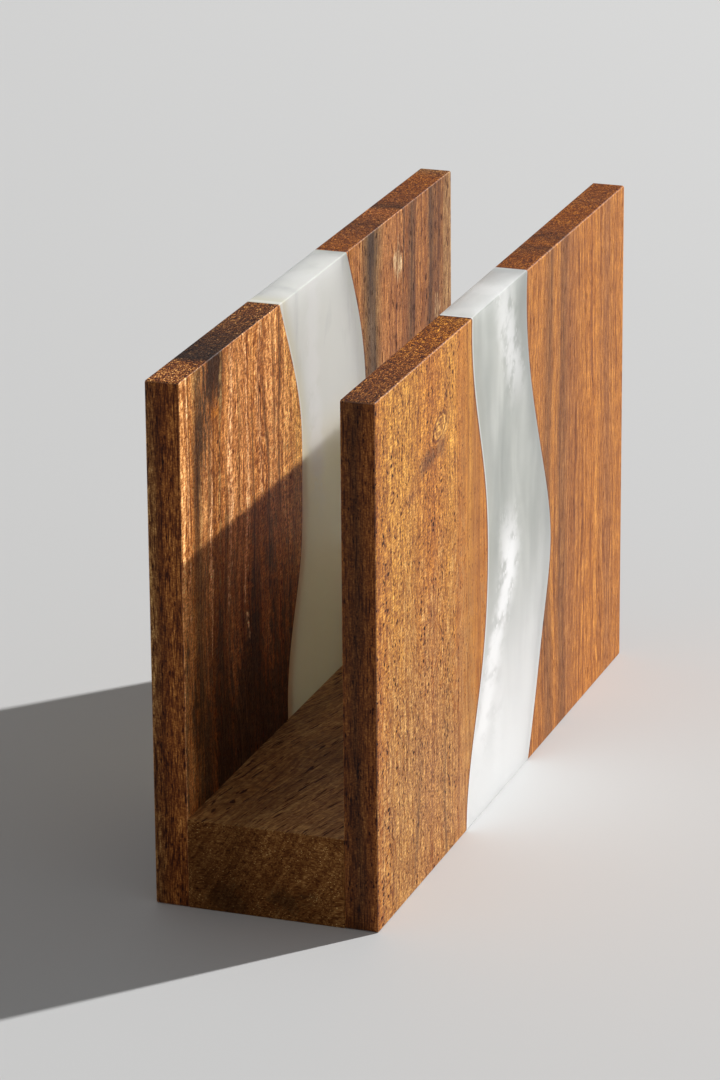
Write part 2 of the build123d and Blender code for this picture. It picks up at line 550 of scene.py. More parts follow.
@dataclass(frozen=True)
class WoodFinish:
    """Oiled solid wood, whose bands, fibres and pores run right through the piece.

    Attributes:
        name: the material's name.
        grain: which way the fibres run.
        across: the lowest and highest place across the bands, in millimetres.
        along: the lowest and highest place along the fibres, in millimetres.
        bands: tones at shares of the way across.
        seed: moves every pattern.
        wander: how far the bands wander, in millimetres.
        figure: how strongly each layer of the figure shows.
        closed: shares across between which the grain closes up, or None.
        patches: streaks, flecks, smudges and eyes, some of them painted shade and shadow.
        live_edge: the line along which the wood meets the resin, or None.
        soak: how dark the wood is along that line.
        tilt: how far the fibres move across for each millimetre along.
        through: the lowest and highest place through the board, or None.
        side_bands: tones at shares of the way through, which the narrow sides show.
        end_bands: tones at shares of the way across, which the end grain shows.
        end_patches: smudges on the end grain, whose heights run through the board.
    """

    name: str
    grain: Grain
    across: tuple[float, float]
    along: tuple[float, float]
    bands: tuple[tuple[float, Tone], ...]
    seed: float
    wander: float = 3.0
    figure: Figure = Figure()
    closed: Optional[tuple[float, float]] = None
    patches: tuple[Patch, ...] = ()
    live_edge: Optional[LiveEdge] = None
    soak: float = 0.5
    tilt: float = 0.0
    through: Optional[tuple[float, float]] = None
    side_bands: tuple[tuple[float, Tone], ...] = ()
    end_bands: tuple[tuple[float, Tone], ...] = ()
    end_patches: tuple[Patch, ...] = ()

    def paint(self) -> bpy.types.Material:
        """Builds the material.

        Returns:
            The finished material.
        """
        material, board = new_material(self.name)
        axes = dict(zip("XYZ", board.place()))
        through, straight, along = (axes[axis] for axis in self.grain.value)
        across = board.math("MULTIPLY_ADD", along, -self.tilt, straight)
        across, eyes = self.round_eyes(board, across, along)
        wide = board.noise((through, across, along), Layer.WIDE, self.seed)
        fine = board.noise((through, across, along), Layer.FINE, self.seed)
        warped = board.total(across, board.swing(wide, self.wander), board.swing(fine, 0.6))
        grain = (through, warped, along)

        rings, lines, fibres, curl, grit, dashes, clumps, fissures = (
            board.noise(grain, layer, self.seed) for layer in FIGURE_LAYERS
        )
        open_grain = self.open_share(board, straight)
        pores = board.product(self.open_pores(board, grain, clumps), open_grain)
        dark_dashes = board.product(board.fade(dashes, 0.50, 0.66), open_grain)
        # Painted highlight: the bright dashes stand in for light glinting on the fibres.
        painted_glints = board.product(board.fade(dashes, 0.46, 0.34), open_grain)
        _, side_axis, end_axis = self.grain.value
        sides, ends = board.facing(side_axis), board.facing(end_axis)
        closed_up = board.highest(ends, board.product(sides, 0.75))
        arris = board.arris()

        colour = board.ramp(board.share(warped, self.across), self.bands)
        ragged = board.total(
            board.swing(fibres, 0.25),
            board.swing(fine, 0.30),
            board.swing(rings, 0.30),
            board.swing(dashes, 0.30),
            board.swing(clumps, 0.30),
        )
        for patch in self.patches:
            share = self.patch_share(board, patch, (warped, along), self.along, ragged)
            colour = board.blend(share, colour, patch.tone.rgba)
        if self.end_bands:
            end_colour = board.ramp(board.share(warped, self.across), self.end_bands)
            colour = board.blend(ends, colour, end_colour)
        for patch in self.end_patches:
            share = self.patch_share(board, patch, (straight, through), self.through, ragged)
            colour = board.blend(board.product(ends, share), colour, patch.tone.rgba)
        if self.side_bands:
            level = board.total(board.share(through, self.through), board.swing(fine, 0.12))
            colour = board.blend(sides, colour, board.ramp(level, self.side_bands))
        depth = board.total(
            board.swing(rings, self.figure.rings),
            board.product(board.fade(lines, 0.58, 0.72), self.figure.lines),
            board.swing(fibres, self.figure.fibres),
            board.swing(curl, self.figure.curl),
            board.product(board.swing(grit, self.figure.grit), open_grain),
            board.product(dark_dashes, self.figure.dashes),
            board.product(painted_glints, -0.45 * self.figure.dashes),
            board.product(board.swing(clumps, self.figure.clumps), open_grain),
            board.product(pores, board.spread(closed_up, 0.0, 1.0, 1.0, 0.35), self.figure.pores),
            board.product(ends, self.end_figure(board, grain)),
            board.product(sides, self.figure.side_depth),
            board.product(sides, board.fade(fissures, 0.56, 0.68), self.figure.fissures),
            # Painted highlight: the edges are stained paler, as if they caught the light.
            board.product(arris, -self.figure.worn_and_highlight),
            self.resin_soaked(board, straight, along),
            eyes,
        )
        roughness = board.total(
            board.swing(fibres, 0.06),
            board.product(pores, 0.18),
            board.product(ends, 0.06),
            board.product(arris, -0.15 * self.figure.worn_and_highlight),
            WOOD_ROUGHNESS,
        )
        height = board.total(
            board.swing(fibres, 0.008),
            board.swing(rings, 0.006),
            board.product(board.swing(grit, -0.012), open_grain),
            board.product(dark_dashes, -0.020),
            board.product(pores, -0.05),
        )
        board.surface(
            Base_Color=board.stain(colour, depth),
            Roughness=roughness,
            Normal=board.relief(height),
            Specular_IOR_Level=board.total(
                board.product(arris, 1.6 * self.figure.worn_and_highlight),
                board.product(ends, -0.08),
                WOOD_SPECULAR,
            ),
        )
        return material

    @staticmethod
    def at(share: float, span: tuple[float, float]) -> float:
        """The place in millimetres at a share of a span."""
        return span[0] + share * (span[1] - span[0])

    def end_figure(self, board: NodeBoard, grain: Sequence[Socket]) -> Socket:
        """What only the end grain shows: dots, pale specks and saw marks.

        Args:
            board: the board to draw on.
            grain: the wandering place through, across and along the wood.

        Returns:
            The depth of stain, which is below 0 where the wood is paler.
        """
        through, across, along = grain
        dots = board.noise(grain, Layer.END_DOTS, self.seed)
        layers = [board.swing(dots, self.figure.end_dots), self.figure.end_depth]
        if self.figure.speckles:
            away, own = board.cells(grain, SPECK_CELL, self.seed + 47.0)
            crowd = board.noise(grain, Layer.SPECK_CROWDS, self.seed)
            chosen = board.fade(board.total(own, board.swing(crowd, 0.35)), 0.45, 0.85)
            layers.append(board.product(board.fade(away, 0.32, 0.14), chosen, -self.figure.speckles))
        if self.figure.saw_marks:
            slant = board.math("MULTIPLY_ADD", through, -0.55, across)
            marks = board.noise((slant, through, along), Layer.SAW_MARKS, self.seed)
            layers.append(board.swing(marks, self.figure.saw_marks))
        return board.total(*layers)

    def away_from(
        self,
        board: NodeBoard,
        spot: Patch,
        place: tuple[Socket, Socket],
        up_span: tuple[float, float],
    ) -> tuple[Socket, Socket]:
        """How far a place lies from the middle of a patch.

        Args:
            board: the board to draw on.
            spot: the patch.
            place: the place across the bands, and the place up the patch.
            up_span: the lowest and highest place up the patch's face.

        Returns:
            The distance to one side, and the distance in all, counted in the patch's half sizes.
        """
        across, up = place
        rise = board.math("SUBTRACT", up, self.at(spot.up, up_span))
        foot = self.at(spot.across, self.across)
        middle = board.math("MULTIPLY_ADD", rise, spot.lean / spot.height, foot)
        aside = board.math("DIVIDE", board.math("SUBTRACT", across, middle), spot.width / 2.0)
        above = board.math("DIVIDE", rise, spot.height / 2.0)
        square = board.total(board.product(aside, aside), board.product(above, above))
        return aside, board.math("SQRT", square)

    def round_eyes(self, board: NodeBoard, across: Socket, along: Socket) -> tuple[Socket, Feed]:
        """Bends the fibres round each eye and draws its rings.

        Args:
            board: the board to draw on.
            across: the place across the bands.
            along: the place along the fibres.

        Returns:
            The place across the bands, pushed aside near the eyes, and the depth of the rings.
        """
        depth: Feed = 0.0
        for eye in (patch for patch in self.patches if patch.eye):
            aside, away = self.away_from(board, eye, (across, along), self.along)
            push = board.product(aside, board.fade(away, 2.6, 0.2), -0.30 * eye.width)
            across = board.math("ADD", across, push)
            for radius, strength in ((0.95, 0.90), (0.50, 0.45)):
                ring = board.fade(board.gap(away, radius), 0.16, 0.04)
                depth = board.total(depth, board.product(ring, strength))
        return across, depth

    def patch_share(
        self,
        board: NodeBoard,
        patch: Patch,
        place: tuple[Socket, Socket],
        up_span: tuple[float, float],
        ragged: Socket,
    ) -> Socket:
        """How far one patch covers the wood.

        Args:
            board: the board to draw on.
            patch: the patch.
            place: the wandering place across the bands, and the place up the patch.
            up_span: the lowest and highest place up the patch's face.
            ragged: a noise about zero that breaks up the patch's edge.

        Returns:
            The patch's share of the colour, from 0 to 1.
        """
        _, away = self.away_from(board, patch, place, up_span)
        share = board.fade(board.math("ADD", away, ragged), 1.1, 0.35)
        return board.math("MULTIPLY", share, patch.strength)

    def open_share(self, board: NodeBoard, straight: Socket) -> Feed:
        """How open the grain is, from 1 down to a little where it closes up."""
        if self.closed is None:
            return 1.0
        start, end = (self.at(share, self.across) for share in self.closed)
        return board.spread(board.fade(straight, start, end), 0.0, 1.0, 1.0, 0.2)

    def open_pores(self, board: NodeBoard, grain: Sequence[Socket], clumps: Socket) -> Socket:
        """Short open pores, as dashes on the face and dots on the end grain.

        Args:
            board: the board to draw on.
            grain: the wandering place through, across and along the wood.
            clumps: the noise that crowds the pores.

        Returns:
            How deep the pore is, from 0 to 1.
        """
        away, own = board.cells(grain, self.figure.pore_cell, self.seed + 31.0)
        rich = board.noise(grain, Layer.PORE_STREAKS, self.seed)
        size = board.product(
            board.spread(own, 0.15, 1.0, 0.10, 0.42),
            board.spread(rich, *NOISE_SPAN, 0.6, 1.15),
            board.spread(clumps, 0.35, 0.65, 0.45, 1.25),
        )
        return board.fade(board.math("SUBTRACT", size, away), -0.05, 0.10)

    def resin_soaked(self, board: NodeBoard, across: Socket, along: Socket) -> Feed:
        """The thin dark layer of wood that soaked up resin.

        Args:
            board: the board to draw on.
            across: the plain place across the wood.
            along: the place along the fibres.

        Returns:
            The depth of stain along the live edge.
        """
        if self.live_edge is None:
            return 0.0
        rise = board.share(along, self.along)
        away = board.off_line(across, rise, self.live_edge.points, self.across)
        return board.product(board.fade(away, 0.9, 0.1), self.soak)


@dataclass(frozen=True)
class Plume:
    """A cloud of bright pearl powder that trails up the pour.

    Attributes:
        path: pairs of height share and length share that its middle follows.
        width: its full width in millimetres.
        low: the share of the height where it starts.
        high: the share of the height where it ends.
        strength: how bright it is, from 0 to 1.
    """

    path: tuple[tuple[float, float], ...]
    width: float
    low: float
    high: float
    strength: float


@dataclass(frozen=True)
class ResinFinish:
    """Satin pearl resin with clouds and wisps that run up the pour.

    Attributes:
        name: the material's name.
        along: the lowest and highest place along the holder, in millimetres.
        up: the lowest and highest place up the panel, in millimetres.
        near_edge: the live edge at the near side.
        far_edge: the live edge at the far side.
        plumes: bright clouds.
        seed: moves every pattern.
        tones: the pearl from its deepest to its lightest.
        near_cream: how creamy the near edge is, from 0 to 1.
        far_depth: how far the far edge looks deeper, from 0 to 1.
        settled: how much milk the lower part has, where the powder sank, from 0 to 1. On the left resin
            this cream is also painted light, standing in for light that glows through the resin into the
            shade.
        settled_span: the shares of the height where the milk starts and where it is full. The default
            starts it near the height of the shadow that the right panel casts on the left one.
        settled_opaque: how far the powder at the foot stops light inside, from 0 to 1.
        milk: the colour of the milk, which on the left resin is a painted cream glow.
        reach: how far light wanders inside the resin, in millimetres.
        top_light: how far the top face is painted paler, as if more light fell on it, from 0 to 1.
    """

    name: str
    along: tuple[float, float]
    up: tuple[float, float]
    near_edge: LiveEdge
    far_edge: LiveEdge
    plumes: tuple[Plume, ...]
    seed: float
    tones: tuple[Tone, Tone, Tone] = (Tone.PEARL_SHADE, Tone.PEARL_GREY, Tone.PEARL)
    near_cream: float = 0.4
    far_depth: float = 0.5
    settled: float = 0.0
    settled_span: tuple[float, float] = (0.76, 0.58)
    settled_opaque: float = 0.0
    milk: Tone = Tone.PEARL_MILK_GLOW
    reach: float = 28.0
    top_light: float = 0.0

    def paint(self) -> bpy.types.Material:
        """Builds the material.

        Returns:
            The finished material.
        """
        material, board = new_material(self.name)
        through, along, up = board.place()
        place = (through, along, up)
        drift = board.noise(place, Layer.RESIN_DRIFT, self.seed)
        moved = board.total(along, board.swing(drift, 3.0))
        flow = (through, moved, up)
        clouds = board.noise(flow, Layer.RESIN_CLOUDS, self.seed)
        wisps = board.noise(flow, Layer.RESIN_WISPS, self.seed)
        smoke = board.noise(flow, Layer.RESIN_SMOKE, self.seed)
        body = board.total(board.product(wisps, 0.3), board.product(clouds, 0.6), board.product(smoke, 0.1))
        stops = tuple(zip((0.0, 0.45, 1.0), self.tones))
        colour = board.ramp(board.share(body, NOISE_SPAN), stops)
        rise = board.share(up, self.up)
        colour, rim = self.tint_at_wood(board, colour, along, rise)
        cloudy = board.highest(rim, board.arris())
        # Painted light: on the left resin the cream fills the part below the right panel's shadow and
        # stands in for light glowing through the resin into that shade.
        if self.settled:
            milky = board.product(board.fade(rise, *self.settled_span), self.settled)
            colour = board.blend(milky, colour, self.milk.rgba)
            cloudy = board.highest(cloudy, board.product(milky, self.settled_opaque))
        # Painted light: the top face is blended towards bright pearl, as if more light fell on it.
        top = board.product(board.facing("Z"), self.top_light)
        colour = board.blend(top, colour, Tone.PEARL_BRIGHT.rgba)
        drop_away, own = board.cells(flow, DROP_CELL, self.seed + 37.0)
        drops = board.product(board.fade(drop_away, 0.42, 0.20), board.fade(own, 0.45, 0.65))
        for plume in self.plumes:
            cloud = self.cloud_share(board, plume, (along, rise), smoke, drops)
            colour = board.blend(cloud, colour, Tone.PEARL_BRIGHT.rgba)
            cloudy = board.highest(cloudy, cloud)
        colour = board.blend(self.sparkles(board, place), colour, Tone.PEARL_BRIGHT.rgba)
        ripple = board.noise(place, Layer.RESIN_RIPPLE, self.seed)
        board.surface(
            Base_Color=colour,
            Roughness=board.total(board.swing(wisps, 0.05), RESIN_ROUGHNESS),
            Normal=board.relief(board.swing(ripple, 0.010)),
            Specular_IOR_Level=RESIN_SPECULAR,
            Coat_Weight=0.06,
            Coat_Roughness=0.15,
            Subsurface_Weight=board.math("MULTIPLY_ADD", cloudy, -0.8, 1.0),
            Subsurface_Radius=(1.0, 1.0, 1.0),
            Subsurface_Scale=self.reach * MM,
        )
        return material

    def tint_at_wood(
        self, board: NodeBoard, colour: Socket, along: Socket, rise: Socket
    ) -> tuple[Socket, Feed]:
        """Lets the wood show through the resin where it slopes away under it.

        Args:
            board: the board to draw on.
            colour: the resin's colour so far.
            along: the place along the holder.
            rise: the share of the height.

        Returns:
            The colour, creamy at the near edge and deeper at the far one, and how near
            the wood is, from 0 to 1.
        """
        rim: Feed = 0.0
        sides = (
            (self.near_edge, 9.0, self.near_cream, Tone.PEARL_CREAM, 0.45),
            (self.far_edge, 5.0, self.far_depth, Tone.PEARL_DEEP, 0.1),
        )
        for edge, reach, strength, tone, line_strength in sides:
            away = board.off_line(along, rise, edge.points, self.along)
            near = board.fade(away, reach, 0.0)
            colour = board.blend(board.product(near, near, strength), colour, tone.rgba)
            thin = board.product(board.fade(away, 1.0, 0.3), line_strength)
            colour = board.blend(thin, colour, Tone.PEARL_BRIGHT.rgba)
            rim = board.highest(rim, board.fade(away, 5.0, 0.0))
        return colour, rim

    def cloud_share(
        self,
        board: NodeBoard,
        plume: Plume,
        place: tuple[Socket, Socket],
        smoke: Socket,
        drops: Socket,
    ) -> Socket:
        """How thick one bright cloud is.

        Args:
            board: the board to draw on.
            plume: the cloud.
            place: the place along the holder, and the share of the height.
            smoke: the noise that breaks the cloud into curls.
            drops: round drops of powder about the cloud.

        Returns:
            The share of full brightness, from 0 to 1.
        """
        along, rise = place
        away = board.off_line(along, rise, plume.path, self.along)
        body = board.fade(away, 0.75 * plume.width, 0.1 * plume.width)
        length = board.product(
            board.fade(rise, plume.low - 0.06, plume.low + 0.08),
            board.fade(rise, plume.high + 0.08, plume.high - 0.06),
        )
        curls = board.fade(board.total(smoke, board.product(body, 0.22)), 0.44, 0.74)
        return board.product(body, length, board.highest(curls, drops), plume.strength)

    def sparkles(self, board: NodeBoard, place: Sequence[Socket]) -> Socket:
        """Single bright flakes of the pearl powder, partly painted highlights of small bubbles, as a share
        of full brightness.
        """
        away, own = board.cells(place, FLAKE_AND_GLINT_CELL, self.seed + 41.0)
        chosen = board.fade(own, 0.86, 0.97)
        spot = board.fade(away, 0.13, 0.05)
        return board.product(spot, chosen, 0.7)


@dataclass(frozen=True)
class FloorFinish:
    """Matt pale paper."""

    name: str = "floor_paper"

    def paint(self) -> bpy.types.Material:
        """Builds the material."""
        material, board = new_material(self.name)
        board.surface(Base_Color=Tone.FLOOR_PALE.rgba, Roughness=0.7, Specular_IOR_Level=0.2)
        return material


@dataclass
class HolderSpans:
    """The holder's box in millimetres, which the finishes are placed by."""

    across: tuple[float, float]
    along: tuple[float, float]
    up: tuple[float, float]

    @classmethod
    def of_frame(cls) -> "HolderSpans":
        """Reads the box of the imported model."""
        low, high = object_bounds()
        spans = zip(low * PER_METRE, high * PER_METRE)
        return cls(*spans)


def dress(node: str, material: bpy.types.Material) -> None:
    """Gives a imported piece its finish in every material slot.

    Args:
        node: the piece's name.
        material: the finish.
    """
    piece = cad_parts[node]
    if not piece.material_slots:
        piece.data.materials.append(material)
    for slot in piece.material_slots:
        slot.material = material
    LOG.info("%s: %s", node, material.name)


@dataclass
class RiverPanel:
    """One upright panel: two strips of wood and the resin between them.

    Attributes:
        side: left or right.
        spans: the holder's box.
    """

    side: str
    spans: HolderSpans

    def build(self) -> None:
        """Dresses the panel's three pieces."""
        river = f"{self.side}_resin_river"
        near_edge = LiveEdge.of_river(river, rear=False)
        far_edge = LiveEdge.of_river(river, rear=True)
        if self.side == "left":
            finishes = (self.left_front(near_edge), self.left_rear(far_edge))
            resin = self.left_resin(near_edge, far_edge)
        else:
            finishes = (self.right_front(near_edge), self.right_rear(far_edge))
            resin = self.right_resin(near_edge, far_edge)
        for end, finish in zip(("front", "rear"), finishes):
            dress(f"{self.side}_{end}_strip", finish.paint())
        dress(river, resin.paint())

    def thickness(self) -> tuple[float, float]:
        """The lowest and highest place through the panel, in millimetres."""
        low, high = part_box(f"{self.side}_resin_river")
        return low.x * PER_METRE, high.x * PER_METRE

    def strip(self, end: str, edge: LiveEdge, **looks: object) -> WoodFinish:
        """The finish of one upright strip.

        Args:
            end: front or rear.
            edge: the line where the strip meets the resin.
            looks: what sets this strip's wood apart.

        Returns:
            The finish.
        """
        return WoodFinish(
            name=f"{self.side}_{end}_wood",
            grain=Grain.UPRIGHT,
            across=self.spans.along,
            along=self.spans.up,
            through=self.thickness(),
            live_edge=edge,
            **looks,
        )

    def river(self, near_edge: LiveEdge, far_edge: LiveEdge, **looks: object) -> ResinFinish:
        """The finish of the resin.

        Args:
            near_edge: the live edge at the near side.
            far_edge: the live edge at the far side.
            looks: what sets this resin apart.

        Returns:
            The finish.
        """
        return ResinFinish(
            name=f"{self.side}_pearl_resin",
            along=self.spans.along,
            up=self.spans.up,
            near_edge=near_edge,
            far_edge=far_edge,
            **looks,
        )

    def left_front(self, edge: LiveEdge) -> WoodFinish:
        """Tan wood with fine dark lines, dark heartwood by its near top corner that is partly a painted
        cast shadow, and painted shade over its lower part.
        """
        return self.strip(
            "front",
            edge,
            seed=2.0,
            bands=(
                (0.00, Tone.ROSE), (0.03, Tone.SALMON), (0.05, Tone.OLIVE), (0.08, Tone.ROSE),
                (0.11, Tone.RUSSET), (0.14, Tone.SALMON), (0.18, Tone.ROSE), (0.24, Tone.SALMON),
                (0.30, Tone.ROSE), (0.42, Tone.HONEY),
            ),
            figure=Figure(
                rings=0.42, lines=1.00, fibres=0.40, grit=0.42, dashes=0.75, pores=2.8,
                pore_cell=(0.70, 0.50, 2.0), end_dots=1.8, side_depth=0.44, fissures=1.1, worn_and_highlight=0.14,
            ),
            patches=(
                # Painted shade: the broad near-black patch over the lower part stands in for the shade in
                # the slot, with some dark heartwood in it.
                Patch(0.200, 0.20, 90.0, 92.0, Tone.EBONY, 0.95),
                Patch(0.012, 0.80, 1.6, 70.0, Tone.BLUSH, 0.6),
                Patch(0.100, 0.66, 2.2, 46.0, Tone.BLUSH, 0.7),
                Patch(0.165, 0.80, 2.6, 64.0, Tone.BLUSH, 0.7, 1.0),
                Patch(0.215, 0.74, 2.0, 60.0, Tone.BLUSH, 0.7),
                Patch(0.255, 0.86, 2.2, 50.0, Tone.BLUSH, 0.6),
                # Dark heartwood that is partly a painted cast shadow: these leaning near-black patches by
                # the near top corner also stand in for a shadow falling across it.
                Patch(0.110, 0.975, 18.0, 24.0, Tone.EBONY, 0.95, 6.0),
                Patch(0.062, 0.875, 11.0, 34.0, Tone.EBONY, 0.9, 6.0),
                Patch(0.042, 0.76, 4.0, 44.0, Tone.UMBER, 0.85, 1.0),
                Patch(0.112, 0.893, 5.0, 4.0, Tone.AMBER, 0.9),
                Patch(0.022, 0.92, 1.0, 60.0, Tone.UMBER, 0.8),
                Patch(0.130, 0.80, 1.4, 60.0, Tone.OLIVE_DARK, 0.8),
                Patch(0.090, 0.70, 1.6, 56.0, Tone.UMBER, 0.7),
                Patch(0.150, 0.62, 2.0, 50.0, Tone.UMBER, 0.8, 2.0),
                Patch(0.185, 0.78, 1.2, 56.0, Tone.CHESTNUT, 0.8),
                Patch(0.235, 0.70, 1.4, 50.0, Tone.UMBER, 0.8),
                Patch(0.300, 0.86, 1.0, 50.0, Tone.CHESTNUT, 0.7),
                Patch(0.275, 0.75, 1.5, 70.0, Tone.EBONY, 0.7, -5.0),
                Patch(0.322, 0.80, 1.3, 80.0, Tone.UMBER, 0.9),
                Patch(0.205, 0.45, 2.0, 60.0, Tone.UMBER, 0.7),
            ),
            soak=0.3,
            side_bands=((0.0, Tone.OLIVE), (0.3, Tone.CHESTNUT), (0.6, Tone.RUSSET), (1.0, Tone.RUSSET)),
            # The near-black band on the top is dark heartwood and partly a painted cast shadow.
            end_bands=(
                (0.00, Tone.TERRACOTTA), (0.08, Tone.RUSSET), (0.10, Tone.EBONY), (0.20, Tone.UMBER),
                (0.28, Tone.CHESTNUT), (0.37, Tone.RUSSET),
            ),
        )

    def left_rear(self, edge: LiveEdge) -> WoodFinish:
        """Salmon wood with grey spalting, dark streaks and pale sapwood at the far end."""
        return self.strip(
            "rear",
            edge,
            seed=5.0,
            bands=(
                (0.56, Tone.COPPER), (0.63, Tone.TERRACOTTA), (0.655, Tone.OLIVE_DARK),
                (0.675, Tone.SPALT_GREY), (0.70, Tone.OLIVE_DARK), (0.73, Tone.TERRACOTTA),
                (0.79, Tone.TERRACOTTA), (0.815, Tone.RUSSET), (0.835, Tone.UMBER), (0.86, Tone.RUSSET),
                (0.89, Tone.RUSSET), (0.905, Tone.UMBER), (0.93, Tone.CHESTNUT), (0.968, Tone.CHESTNUT),
                (0.985, Tone.SAPWOOD), (1.00, Tone.SAPWOOD),
            ),
            wander=2.0,
            figure=Figure(lines=0.7, dashes=0.3, clumps=0.25, pores=1.6, fissures=0.7),
            patches=(
                Patch(0.675, 0.95, 5.0, 26.0, Tone.EBONY, 0.8),
                Patch(0.690, 0.80, 2.0, 40.0, Tone.EBONY, 0.6, 2.0),
                Patch(0.660, 0.66, 2.5, 30.0, Tone.UMBER, 0.6),
                Patch(0.780, 0.90, 5.0, 8.0, Tone.CREAM_WOOD, 0.8),
                Patch(0.803, 0.95, 1.4, 40.0, Tone.EBONY, 0.9, 1.0),
                Patch(0.943, 0.74, 4.0, 10.0, Tone.CREAM_WOOD, 0.5),
            ),
            soak=0.6,
            end_bands=(
                (0.56, Tone.AMBER), (0.66, Tone.RUSSET), (0.72, Tone.CHESTNUT), (0.78, Tone.SALMON),
                (0.80, Tone.UMBER), (0.83, Tone.RUSSET), (0.95, Tone.AMBER), (1.00, Tone.SAPWOOD),
            ),
        )

    def right_front(self, edge: LiveEdge) -> WoodFinish:
        """Golden wood with fine pores and one small eye."""
        return self.strip(
            "front",
            edge,
            seed=8.0,
            bands=(
                (0.00, Tone.AMBER), (0.05, Tone.GOLDEN), (0.12, Tone.GOLDEN), (0.20, Tone.AMBER),
                (0.27, Tone.GOLDEN), (0.31, Tone.AMBER), (0.35, Tone.GOLDEN), (0.43, Tone.AMBER),
            ),
            wander=2.5,
            figure=Figure(
                lines=0.35, fibres=0.24, grit=0.42, dashes=0.50, clumps=0.22, pores=3.2,
                pore_cell=(0.52, 0.70, 1.3), end_dots=1.6, side_depth=0.48, fissures=1.1,
            ),
            closed=(0.24, 0.36),
            patches=(
                Patch(0.200, 0.16, 90.0, 90.0, Tone.TAN, 0.6),
                Patch(0.233, 0.85, 8.0, 5.4, Tone.HONEY, 0.95, 3.0, eye=True),
                Patch(0.315, 0.74, 3.5, 40.0, Tone.CHESTNUT, 0.5),
                # Browner wood by the river that is partly a painted cast shadow.
                Patch(0.375, 0.60, 9.0, 50.0, Tone.RUSSET, 0.6),
                Patch(0.190, 0.805, 15.0, 4.5, Tone.CHESTNUT, 0.95, 5.0),
                Patch(0.120, 0.765, 10.0, 3.0, Tone.RUSSET, 0.7, 4.0),
                Patch(0.140, 0.13, 2.0, 26.0, Tone.UMBER, 0.6, 4.0),
                Patch(0.255, 0.10, 1.5, 40.0, Tone.UMBER, 0.7),
            ),
            soak=0.9,
            side_bands=((0.0, Tone.CHESTNUT), (0.45, Tone.UMBER), (0.7, Tone.CHESTNUT), (1.0, Tone.RUSSET)),
            end_bands=((0.0, Tone.CHESTNUT), (0.12, Tone.RUSSET), (0.26, Tone.AMBER), (0.38, Tone.GOLDEN)),
        )

    def right_rear(self, edge: LiveEdge) -> WoodFinish:
        """Orange wood with broad straight bands."""
        return self.strip(
            "rear",
            edge,
            seed=11.0,
            # The chestnut bands next to the river are dark streaks of the wood and partly a painted cast
            # shadow.
            bands=(
                (0.56, Tone.COPPER), (0.63, Tone.COPPER), (0.67, Tone.CHESTNUT), (0.70, Tone.COPPER),
                (0.735, Tone.CHESTNUT), (0.765, Tone.RUSSET), (0.80, Tone.COPPER), (0.86, Tone.AMBER),
                (0.90, Tone.COPPER), (0.92, Tone.RUSSET), (0.945, Tone.COPPER), (1.00, Tone.AMBER),
            ),
            wander=2.0,
            figure=Figure(
                lines=0.6, grit=0.12, dashes=0.2, clumps=0.16, pores=0.7, pore_cell=(0.50, 0.60, 4.0)
            ),
            soak=0.5,
        )

    def left_resin(self, near_edge: LiveEdge, far_edge: LiveEdge) -> ResinFinish:
        """Soft pearl with one faint streak, a creamy near edge and a cream lower part that is painted
        light, standing in for light glowing through the resin into the right panel's shadow.
        """
        streak = ((0.0, 0.47), (0.6, 0.47), (0.85, 0.453), (1.0, 0.46))
        return self.river(
            near_edge,
            far_edge,
            plumes=(Plume(streak, width=9.0, low=0.55, high=1.0, strength=0.3),),
            seed=3.0,
            tones=(Tone.PEARL, Tone.PEARL_LIGHT, Tone.PEARL_LIGHT),
            reach=30.0,
            near_cream=0.8,
            far_depth=0.30,
            settled=1.0,
        )

    def right_resin(self, near_edge: LiveEdge, far_edge: LiveEdge) -> ResinFinish:
        """Pearl with a bright plume that trails down to the foot."""
        trail = (
            (0.0, 0.36), (0.10, 0.37), (0.23, 0.42), (0.32, 0.45), (0.42, 0.50), (0.6, 0.50), (1.0, 0.5)
        )
        foot = ((0.0, 0.46), (0.15, 0.46), (1.0, 0.54))
        head = ((0.0, 0.5), (0.8, 0.53), (0.9, 0.50), (1.0, 0.48))
        return self.river(
            near_edge,
            far_edge,
            plumes=(
                Plume(trail, width=13.0, low=0.10, high=0.52, strength=1.0),
                Plume(foot, width=7.0, low=0.06, high=0.2, strength=0.7),
                Plume(head, width=12.0, low=0.78, high=0.98, strength=0.6),
            ),
            seed=14.0,
            near_cream=0.15,
            far_depth=0.35,
            settled=0.85,
            settled_span=(0.55, 0.05),
            settled_opaque=0.8,
            milk=Tone.PEARL_BRIGHT,
            # Painted light: the top face is paler, as if more light fell on it.
            top_light=0.35,
        )


@dataclass
class BaseBlock:
    """The solid block that holds the panels apart."""

    spans: HolderSpans

    def build(self) -> None:
        """Dresses the block in olive-brown wood with long pores."""
        low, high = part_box("base_block")
        finish = WoodFinish(
            name="base_wood",
            grain=Grain.LENGTHWISE,
            across=self.spans.across,
            along=self.spans.along,
            seed=21.0,
            bands=(
                (0.10, Tone.OLIVE), (0.30, Tone.OLIVE_DARK), (0.50, Tone.OLIVE),
                (0.72, Tone.OLIVE_DARK), (0.90, Tone.OLIVE),
            ),
            figure=Figure(
                clumps=0.15, pores=2.0, pore_cell=(0.50, 0.52, 6.0), end_depth=0.90,
                end_dots=0.30, speckles=1.4, saw_marks=0.30, worn_and_highlight=0.0,
            ),
            tilt=0.22,
            through=(low.z * PER_METRE, high.z * PER_METRE),
            end_patches=(
                Patch(0.330, 0.17, 10.0, 8.0, Tone.EBONY, 0.6),
                Patch(0.590, 0.22, 11.0, 7.0, Tone.EBONY, 0.65),
                Patch(0.220, 0.50, 8.0, 14.0, Tone.UMBER, 0.5),
                Patch(0.720, 0.70, 12.0, 9.0, Tone.OLIVE, 0.6),
            ),
        )
        dress("base_block", finish.paint())


